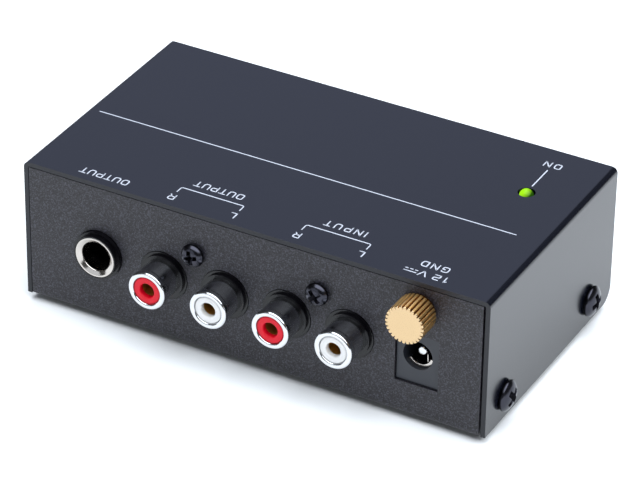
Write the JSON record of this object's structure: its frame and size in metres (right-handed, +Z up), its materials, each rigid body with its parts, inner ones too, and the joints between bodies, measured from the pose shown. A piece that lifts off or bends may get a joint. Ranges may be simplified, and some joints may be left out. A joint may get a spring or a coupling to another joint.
{
  "type": "phono preamp",
  "caption": "Small folded-steel phono preamp box with RCA inputs and outputs, a phone jack, a barrel power socket, a ground thumb screw and a power lamp.",
  "frame": {"origin": "middle of the whole outline, on the surface that the feet stand on", "axes": "+Z up, +X to the right along the connector panel, which faces -Y"},
  "size_m": [0.1086, 0.0642, 0.0338],
  "materials": {
    "cover_paint": "smooth satin dark blue-grey paint",
    "panel_paint": "fine-textured dark grey powder coat",
    "black_screw": "glossy black plated steel",
    "zinc_steel": "bright zinc plate",
    "foot_rubber": "matt",
    "board_laminate": "green solder resist",
    "black_plastic": "satin moulded",
    "nickel": "bright nickel plate",
    "red_plastic": "satin moulded",
    "white_plastic": "satin moulded",
    "contact_brass": "plain brass",
    "thumbscrew_brass": "turned brass",
    "led_green": "tinted clear epoxy",
    "nylon": "natural nylon",
    "chip_epoxy": "moulded epoxy",
    "capacitor_sleeve": "shrunk sleeve",
    "film_case": "moulded case",
    "resistor_body": "lacquer",
    "diode_body": "moulded"
  },
  "bodies": {
    "case": {"top_cover": "cover_paint", "base_chassis": "panel_paint", "cover_screws": "black_screw", "rubber_feet": "foot_rubber", "circuit_board": "board_laminate", "board_standoffs": "zinc_steel", "board_screws": "zinc_steel", "phone_jack_housing": "black_plastic", "phone_jack_ferrule": "nickel", "phone_jack_contacts": "contact_brass", "output_rca_housing": "black_plastic", "input_rca_housing": "black_plastic", "rca_centre_contacts": "contact_brass", "rca_housing_screws": "black_screw", "dc_socket_housing": "black_plastic", "dc_socket_pin": "nickel", "dc_socket_spring": "nickel", "ground_bush": "contact_brass", "power_led": "led_green", "led_spacer": "nylon", "op_amps": "chip_epoxy", "voltage_regulator": "chip_epoxy", "electrolytic_capacitors": "capacitor_sleeve", "film_capacitors": "film_case", "resistors": "resistor_body", "guard_diode": "diode_body", "output_right_shell": "nickel", "output_right_insulator": "red_plastic", "output_left_shell": "nickel", "output_left_insulator": "white_plastic", "input_right_shell": "nickel", "input_right_insulator": "red_plastic", "input_left_shell": "nickel", "input_left_insulator": "white_plastic"},
    "ground_washer": {"captive_washer": "thumbscrew_brass"},
    "ground_screw": {"ground_thumbscrew": "thumbscrew_brass"}
  },
  "joints": [
    {"name": "ground_travel", "type": "slide", "parent": "case", "child": "ground_washer", "axis": [0, -1, 0], "range_m": [0, 0.0035]},
    {"name": "ground_turn", "type": "hinge", "parent": "ground_washer", "child": "ground_screw", "pos_m": [0.0372, -0.0257, 0.0268], "axis": [0, -1, 0], "range_deg": [0, 1800]}
  ],
  "couplings": [
    {"joint": "ground_turn", "follows": "ground_travel", "rad_per_m": 8976}
  ]
}
